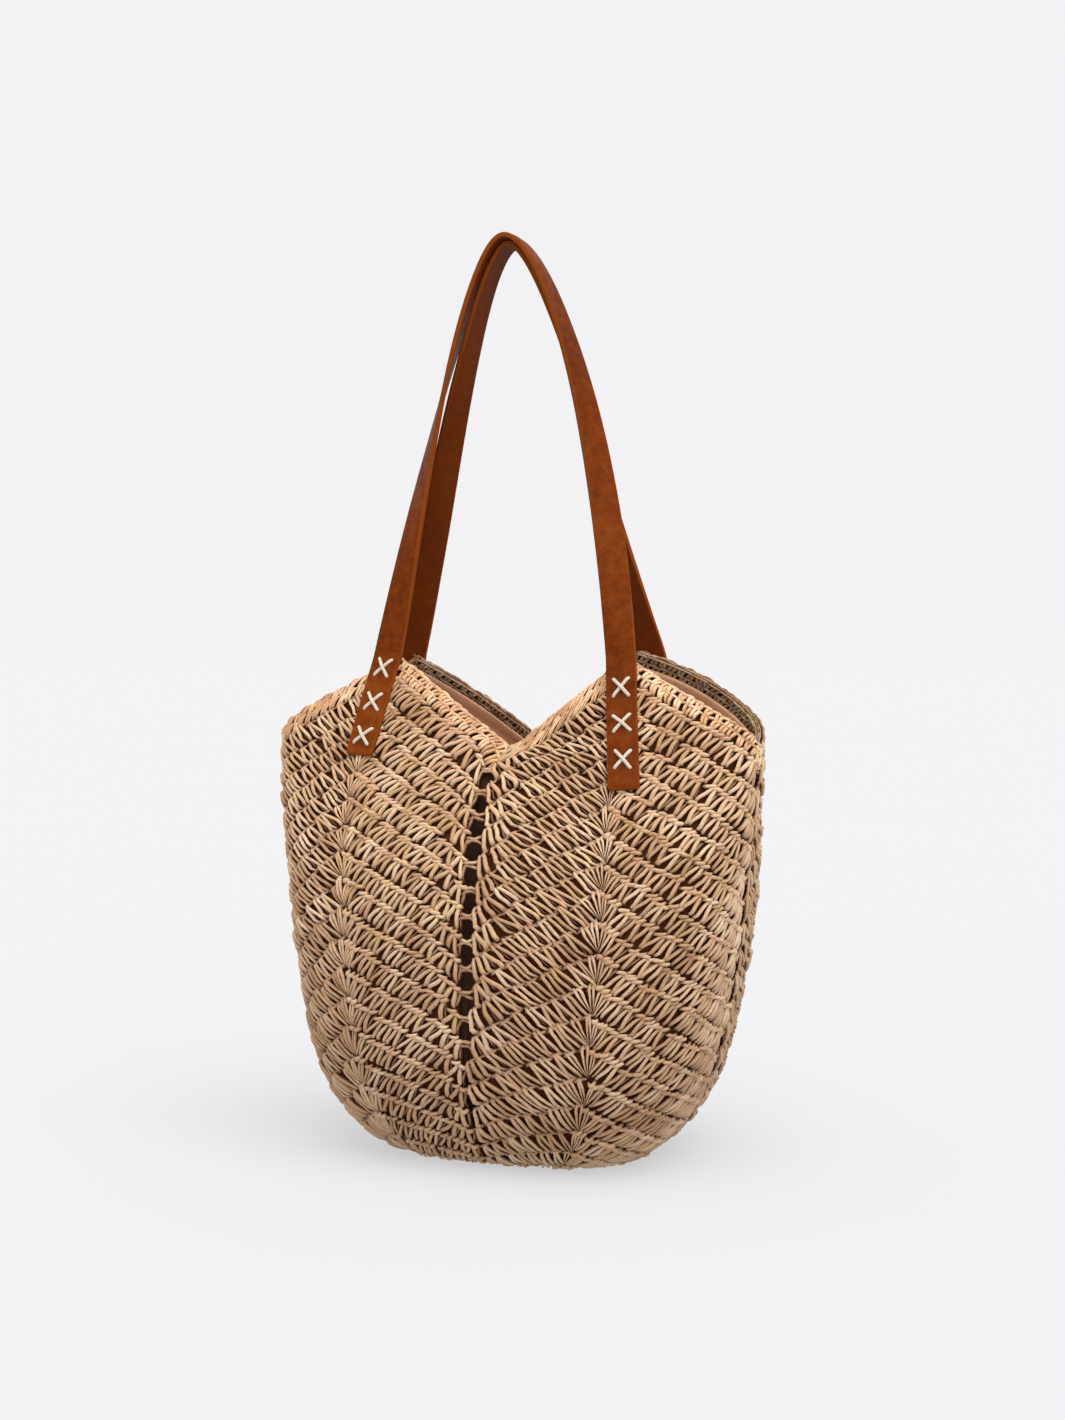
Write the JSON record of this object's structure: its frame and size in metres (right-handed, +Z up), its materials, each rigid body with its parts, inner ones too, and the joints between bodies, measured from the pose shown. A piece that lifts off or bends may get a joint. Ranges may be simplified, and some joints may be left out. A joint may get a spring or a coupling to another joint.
{
  "type": "beach bag",
  "caption": "Crocheted straw tote with a pointed zigzag rim, fabric lining and leather shoulder handles sewn on with cross stitches.",
  "frame": {"origin": "middle of the flat bottom, on the surface that the bag stands on", "axes": "+Z up to the handles' top, +X to the bag's right, -Y towards the front"},
  "size_m": [0.3412, 0.2134, 0.6073],
  "materials": {
    "straw": "twisted paper straw, crocheted, matt with a faint sheen",
    "leather": "saddle brown, smooth, low sheen, painted edges",
    "thread": "thick waxed cord, off-white",
    "lining": "smooth taupe plain weave"
  },
  "bodies": {
    "bag": {"crochet_base": "straw", "front_left_petal": "straw", "front_right_petal": "straw", "back_left_petal": "straw", "back_right_petal": "straw", "front_left_edging": "straw", "front_right_edging": "straw", "back_left_edging": "straw", "back_right_edging": "straw", "front_ladder": "straw", "right_ladder": "straw", "back_ladder": "straw", "left_ladder": "straw", "lining_bottom": "lining", "lining_front": "lining", "lining_back": "lining", "front_left_handle_end": "leather", "front_right_handle_end": "leather", "back_left_handle_end": "leather", "back_right_handle_end": "leather", "front_left_cross_stitches": "thread", "front_right_cross_stitches": "thread", "back_left_cross_stitches": "thread", "back_right_cross_stitches": "thread"},
    "front_handle": {"front_handle_strap": "leather"},
    "back_handle": {"back_handle_strap": "leather"}
  },
  "joints": [
    {"name": "front_handle_fold", "type": "hinge", "parent": "bag", "child": "front_handle", "pos_m": [0, -0.0278, 0.3263], "axis": [1, 0, 0], "range_deg": [0, 135]},
    {"name": "back_handle_fold", "type": "hinge", "parent": "bag", "child": "back_handle", "pos_m": [0, 0.0278, 0.3263], "axis": [-1, 0, 0], "range_deg": [0, 135]}
  ]
}
